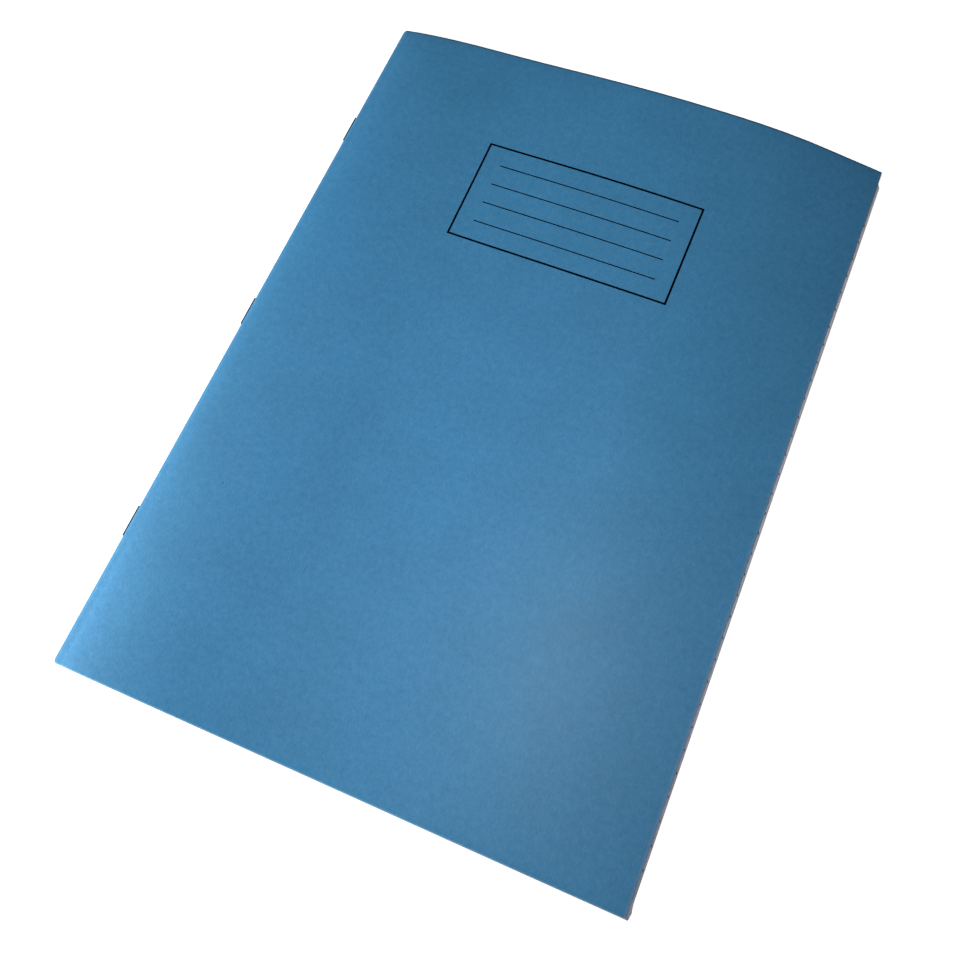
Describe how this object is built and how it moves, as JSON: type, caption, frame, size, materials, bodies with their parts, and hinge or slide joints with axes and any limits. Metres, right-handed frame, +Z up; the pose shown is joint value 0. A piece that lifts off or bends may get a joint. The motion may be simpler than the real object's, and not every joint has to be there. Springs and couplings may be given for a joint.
{
  "type": "stapled exercise book",
  "caption": "A4 exercise book of ruled sheets folded into a blue card cover and stapled through the spine, opening like a fan about the fold.",
  "frame": {"origin": "on the surface that the book lies on, under the middle of its cover", "axes": "+X from the spine to the fore-edge, +Y from the foot of the page to its head, +Z up"},
  "size_m": [0.212, 0.297, 0.0121],
  "materials": {
    "cover_card": "matte dyed manila card",
    "ruled_paper": "uncoated writing paper",
    "staple_wire": "galvanised wire"
  },
  "bodies": {
    "back_cover": {"back_cover": "cover_card"},
    "spine": {"cover_fold": "cover_card", "sheet_folds": "ruled_paper", "staples": "staple_wire"},
    "front_cover": {"front_cover": "cover_card"},
    "sheet_01_front_leaf": {"sheet_01_front_leaf": "ruled_paper"},
    "sheet_01_back_leaf": {"sheet_01_back_leaf": "ruled_paper"},
    "sheet_02_front_leaf": {"sheet_02_front_leaf": "ruled_paper"},
    "sheet_02_back_leaf": {"sheet_02_back_leaf": "ruled_paper"},
    "sheet_03_front_leaf": {"sheet_03_front_leaf": "ruled_paper"},
    "sheet_03_back_leaf": {"sheet_03_back_leaf": "ruled_paper"},
    "sheet_04_front_leaf": {"sheet_04_front_leaf": "ruled_paper"},
    "sheet_04_back_leaf": {"sheet_04_back_leaf": "ruled_paper"},
    "sheet_05_front_leaf": {"sheet_05_front_leaf": "ruled_paper"},
    "sheet_05_back_leaf": {"sheet_05_back_leaf": "ruled_paper"},
    "sheet_06_front_leaf": {"sheet_06_front_leaf": "ruled_paper"},
    "sheet_06_back_leaf": {"sheet_06_back_leaf": "ruled_paper"},
    "sheet_07_front_leaf": {"sheet_07_front_leaf": "ruled_paper"},
    "sheet_07_back_leaf": {"sheet_07_back_leaf": "ruled_paper"},
    "sheet_08_front_leaf": {"sheet_08_front_leaf": "ruled_paper"},
    "sheet_08_back_leaf": {"sheet_08_back_leaf": "ruled_paper"},
    "sheet_09_front_leaf": {"sheet_09_front_leaf": "ruled_paper"},
    "sheet_09_back_leaf": {"sheet_09_back_leaf": "ruled_paper"},
    "sheet_10_front_leaf": {"sheet_10_front_leaf": "ruled_paper"},
    "sheet_10_back_leaf": {"sheet_10_back_leaf": "ruled_paper"},
    "sheet_11_front_leaf": {"sheet_11_front_leaf": "ruled_paper"},
    "sheet_11_back_leaf": {"sheet_11_back_leaf": "ruled_paper"},
    "sheet_12_front_leaf": {"sheet_12_front_leaf": "ruled_paper"},
    "sheet_12_back_leaf": {"sheet_12_back_leaf": "ruled_paper"},
    "sheet_13_front_leaf": {"sheet_13_front_leaf": "ruled_paper"},
    "sheet_13_back_leaf": {"sheet_13_back_leaf": "ruled_paper"},
    "sheet_14_front_leaf": {"sheet_14_front_leaf": "ruled_paper"},
    "sheet_14_back_leaf": {"sheet_14_back_leaf": "ruled_paper"},
    "sheet_15_front_leaf": {"sheet_15_front_leaf": "ruled_paper"},
    "sheet_15_back_leaf": {"sheet_15_back_leaf": "ruled_paper"},
    "sheet_16_front_leaf": {"sheet_16_front_leaf": "ruled_paper"},
    "sheet_16_back_leaf": {"sheet_16_back_leaf": "ruled_paper"}
  },
  "joints": [
    {"name": "front_cover_hinge", "type": "hinge", "parent": "back_cover", "child": "front_cover", "pos_m": [-0.10295, 0, 0.00205], "axis": [0, -1, 0], "range_deg": [0, 170], "deforming": ["cover_fold", "sheet_folds"]},
    {"name": "spine_roll", "type": "hinge", "parent": "back_cover", "child": "spine", "pos_m": [-0.10295, 0, 0.00205], "axis": [0, -1, 0], "range_deg": [0, 85]},
    {"name": "sheet_01_front_leaf_hinge", "type": "hinge", "parent": "front_cover", "child": "sheet_01_front_leaf", "pos_m": [-0.10295, 0, 0.00205], "axis": [0, -1, 0], "range_deg": [-1.49, 0]},
    {"name": "sheet_01_back_leaf_hinge", "type": "hinge", "parent": "back_cover", "child": "sheet_01_back_leaf", "pos_m": [-0.10295, 0, 0.00205], "axis": [0, -1, 0], "range_deg": [0, 1.49]},
    {"name": "sheet_02_front_leaf_hinge", "type": "hinge", "parent": "front_cover", "child": "sheet_02_front_leaf", "pos_m": [-0.10295, 0, 0.00205], "axis": [0, -1, 0], "range_deg": [-2.98, 0]},
    {"name": "sheet_02_back_leaf_hinge", "type": "hinge", "parent": "back_cover", "child": "sheet_02_back_leaf", "pos_m": [-0.10295, 0, 0.00205], "axis": [0, -1, 0], "range_deg": [0, 2.98]},
    {"name": "sheet_03_front_leaf_hinge", "type": "hinge", "parent": "front_cover", "child": "sheet_03_front_leaf", "pos_m": [-0.10295, 0, 0.00205], "axis": [0, -1, 0], "range_deg": [-4.46, 0]},
    {"name": "sheet_03_back_leaf_hinge", "type": "hinge", "parent": "back_cover", "child": "sheet_03_back_leaf", "pos_m": [-0.10295, 0, 0.00205], "axis": [0, -1, 0], "range_deg": [0, 4.46]},
    {"name": "sheet_04_front_leaf_hinge", "type": "hinge", "parent": "front_cover", "child": "sheet_04_front_leaf", "pos_m": [-0.10295, 0, 0.00205], "axis": [0, -1, 0], "range_deg": [-5.95, 0]},
    {"name": "sheet_04_back_leaf_hinge", "type": "hinge", "parent": "back_cover", "child": "sheet_04_back_leaf", "pos_m": [-0.10295, 0, 0.00205], "axis": [0, -1, 0], "range_deg": [0, 5.95]},
    {"name": "sheet_05_front_leaf_hinge", "type": "hinge", "parent": "front_cover", "child": "sheet_05_front_leaf", "pos_m": [-0.10295, 0, 0.00205], "axis": [0, -1, 0], "range_deg": [-7.44, 0]},
    {"name": "sheet_05_back_leaf_hinge", "type": "hinge", "parent": "back_cover", "child": "sheet_05_back_leaf", "pos_m": [-0.10295, 0, 0.00205], "axis": [0, -1, 0], "range_deg": [0, 7.44]},
    {"name": "sheet_06_front_leaf_hinge", "type": "hinge", "parent": "front_cover", "child": "sheet_06_front_leaf", "pos_m": [-0.10295, 0, 0.00205], "axis": [0, -1, 0], "range_deg": [-8.93, 0]},
    {"name": "sheet_06_back_leaf_hinge", "type": "hinge", "parent": "back_cover", "child": "sheet_06_back_leaf", "pos_m": [-0.10295, 0, 0.00205], "axis": [0, -1, 0], "range_deg": [0, 8.93]},
    {"name": "sheet_07_front_leaf_hinge", "type": "hinge", "parent": "front_cover", "child": "sheet_07_front_leaf", "pos_m": [-0.10295, 0, 0.00205], "axis": [0, -1, 0], "range_deg": [-10.41, 0]},
    {"name": "sheet_07_back_leaf_hinge", "type": "hinge", "parent": "back_cover", "child": "sheet_07_back_leaf", "pos_m": [-0.10295, 0, 0.00205], "axis": [0, -1, 0], "range_deg": [0, 10.41]},
    {"name": "sheet_08_front_leaf_hinge", "type": "hinge", "parent": "front_cover", "child": "sheet_08_front_leaf", "pos_m": [-0.10295, 0, 0.00205], "axis": [0, -1, 0], "range_deg": [-11.9, 0]},
    {"name": "sheet_08_back_leaf_hinge", "type": "hinge", "parent": "back_cover", "child": "sheet_08_back_leaf", "pos_m": [-0.10295, 0, 0.00205], "axis": [0, -1, 0], "range_deg": [0, 11.9]},
    {"name": "sheet_09_front_leaf_hinge", "type": "hinge", "parent": "front_cover", "child": "sheet_09_front_leaf", "pos_m": [-0.10295, 0, 0.00205], "axis": [0, -1, 0], "range_deg": [-13.39, 0]},
    {"name": "sheet_09_back_leaf_hinge", "type": "hinge", "parent": "back_cover", "child": "sheet_09_back_leaf", "pos_m": [-0.10295, 0, 0.00205], "axis": [0, -1, 0], "range_deg": [0, 13.39]},
    {"name": "sheet_10_front_leaf_hinge", "type": "hinge", "parent": "front_cover", "child": "sheet_10_front_leaf", "pos_m": [-0.10295, 0, 0.00205], "axis": [0, -1, 0], "range_deg": [-14.88, 0]},
    {"name": "sheet_10_back_leaf_hinge", "type": "hinge", "parent": "back_cover", "child": "sheet_10_back_leaf", "pos_m": [-0.10295, 0, 0.00205], "axis": [0, -1, 0], "range_deg": [0, 14.88]},
    {"name": "sheet_11_front_leaf_hinge", "type": "hinge", "parent": "front_cover", "child": "sheet_11_front_leaf", "pos_m": [-0.10295, 0, 0.00205], "axis": [0, -1, 0], "range_deg": [-16.36, 0]},
    {"name": "sheet_11_back_leaf_hinge", "type": "hinge", "parent": "back_cover", "child": "sheet_11_back_leaf", "pos_m": [-0.10295, 0, 0.00205], "axis": [0, -1, 0], "range_deg": [0, 16.36]},
    {"name": "sheet_12_front_leaf_hinge", "type": "hinge", "parent": "front_cover", "child": "sheet_12_front_leaf", "pos_m": [-0.10295, 0, 0.00205], "axis": [0, -1, 0], "range_deg": [-17.85, 0]},
    {"name": "sheet_12_back_leaf_hinge", "type": "hinge", "parent": "back_cover", "child": "sheet_12_back_leaf", "pos_m": [-0.10295, 0, 0.00205], "axis": [0, -1, 0], "range_deg": [0, 17.85]},
    {"name": "sheet_13_front_leaf_hinge", "type": "hinge", "parent": "front_cover", "child": "sheet_13_front_leaf", "pos_m": [-0.10295, 0, 0.00205], "axis": [0, -1, 0], "range_deg": [-19.34, 0]},
    {"name": "sheet_13_back_leaf_hinge", "type": "hinge", "parent": "back_cover", "child": "sheet_13_back_leaf", "pos_m": [-0.10295, 0, 0.00205], "axis": [0, -1, 0], "range_deg": [0, 19.34]},
    {"name": "sheet_14_front_leaf_hinge", "type": "hinge", "parent": "front_cover", "child": "sheet_14_front_leaf", "pos_m": [-0.10295, 0, 0.00205], "axis": [0, -1, 0], "range_deg": [-20.82, 0]},
    {"name": "sheet_14_back_leaf_hinge", "type": "hinge", "parent": "back_cover", "child": "sheet_14_back_leaf", "pos_m": [-0.10295, 0, 0.00205], "axis": [0, -1, 0], "range_deg": [0, 20.82]},
    {"name": "sheet_15_front_leaf_hinge", "type": "hinge", "parent": "front_cover", "child": "sheet_15_front_leaf", "pos_m": [-0.10295, 0, 0.00205], "axis": [0, -1, 0], "range_deg": [-22.31, 0]},
    {"name": "sheet_15_back_leaf_hinge", "type": "hinge", "parent": "back_cover", "child": "sheet_15_back_leaf", "pos_m": [-0.10295, 0, 0.00205], "axis": [0, -1, 0], "range_deg": [0, 22.31]},
    {"name": "sheet_16_front_leaf_hinge", "type": "hinge", "parent": "front_cover", "child": "sheet_16_front_leaf", "pos_m": [-0.10295, 0, 0.00205], "axis": [0, -1, 0], "range_deg": [-23.8, 0]},
    {"name": "sheet_16_back_leaf_hinge", "type": "hinge", "parent": "back_cover", "child": "sheet_16_back_leaf", "pos_m": [-0.10295, 0, 0.00205], "axis": [0, -1, 0], "range_deg": [0, 23.8]}
  ],
  "couplings": [
    {"joint": "spine_roll", "follows": "front_cover_hinge", "ratio": 0.5},
    {"joint": "sheet_01_front_leaf_hinge", "follows": "front_cover_hinge", "ratio": -0.00875},
    {"joint": "sheet_01_back_leaf_hinge", "follows": "front_cover_hinge", "ratio": 0.00875},
    {"joint": "sheet_02_front_leaf_hinge", "follows": "front_cover_hinge", "ratio": -0.0175},
    {"joint": "sheet_02_back_leaf_hinge", "follows": "front_cover_hinge", "ratio": 0.0175},
    {"joint": "sheet_03_front_leaf_hinge", "follows": "front_cover_hinge", "ratio": -0.02625},
    {"joint": "sheet_03_back_leaf_hinge", "follows": "front_cover_hinge", "ratio": 0.02625},
    {"joint": "sheet_04_front_leaf_hinge", "follows": "front_cover_hinge", "ratio": -0.035},
    {"joint": "sheet_04_back_leaf_hinge", "follows": "front_cover_hinge", "ratio": 0.035},
    {"joint": "sheet_05_front_leaf_hinge", "follows": "front_cover_hinge", "ratio": -0.04375},
    {"joint": "sheet_05_back_leaf_hinge", "follows": "front_cover_hinge", "ratio": 0.04375},
    {"joint": "sheet_06_front_leaf_hinge", "follows": "front_cover_hinge", "ratio": -0.0525},
    {"joint": "sheet_06_back_leaf_hinge", "follows": "front_cover_hinge", "ratio": 0.0525},
    {"joint": "sheet_07_front_leaf_hinge", "follows": "front_cover_hinge", "ratio": -0.06125},
    {"joint": "sheet_07_back_leaf_hinge", "follows": "front_cover_hinge", "ratio": 0.06125},
    {"joint": "sheet_08_front_leaf_hinge", "follows": "front_cover_hinge", "ratio": -0.07},
    {"joint": "sheet_08_back_leaf_hinge", "follows": "front_cover_hinge", "ratio": 0.07},
    {"joint": "sheet_09_front_leaf_hinge", "follows": "front_cover_hinge", "ratio": -0.07875},
    {"joint": "sheet_09_back_leaf_hinge", "follows": "front_cover_hinge", "ratio": 0.07875},
    {"joint": "sheet_10_front_leaf_hinge", "follows": "front_cover_hinge", "ratio": -0.0875},
    {"joint": "sheet_10_back_leaf_hinge", "follows": "front_cover_hinge", "ratio": 0.0875},
    {"joint": "sheet_11_front_leaf_hinge", "follows": "front_cover_hinge", "ratio": -0.09625},
    {"joint": "sheet_11_back_leaf_hinge", "follows": "front_cover_hinge", "ratio": 0.09625},
    {"joint": "sheet_12_front_leaf_hinge", "follows": "front_cover_hinge", "ratio": -0.105},
    {"joint": "sheet_12_back_leaf_hinge", "follows": "front_cover_hinge", "ratio": 0.105},
    {"joint": "sheet_13_front_leaf_hinge", "follows": "front_cover_hinge", "ratio": -0.11375},
    {"joint": "sheet_13_back_leaf_hinge", "follows": "front_cover_hinge", "ratio": 0.11375},
    {"joint": "sheet_14_front_leaf_hinge", "follows": "front_cover_hinge", "ratio": -0.1225},
    {"joint": "sheet_14_back_leaf_hinge", "follows": "front_cover_hinge", "ratio": 0.1225},
    {"joint": "sheet_15_front_leaf_hinge", "follows": "front_cover_hinge", "ratio": -0.13125},
    {"joint": "sheet_15_back_leaf_hinge", "follows": "front_cover_hinge", "ratio": 0.13125},
    {"joint": "sheet_16_front_leaf_hinge", "follows": "front_cover_hinge", "ratio": -0.14},
    {"joint": "sheet_16_back_leaf_hinge", "follows": "front_cover_hinge", "ratio": 0.14}
  ]
}
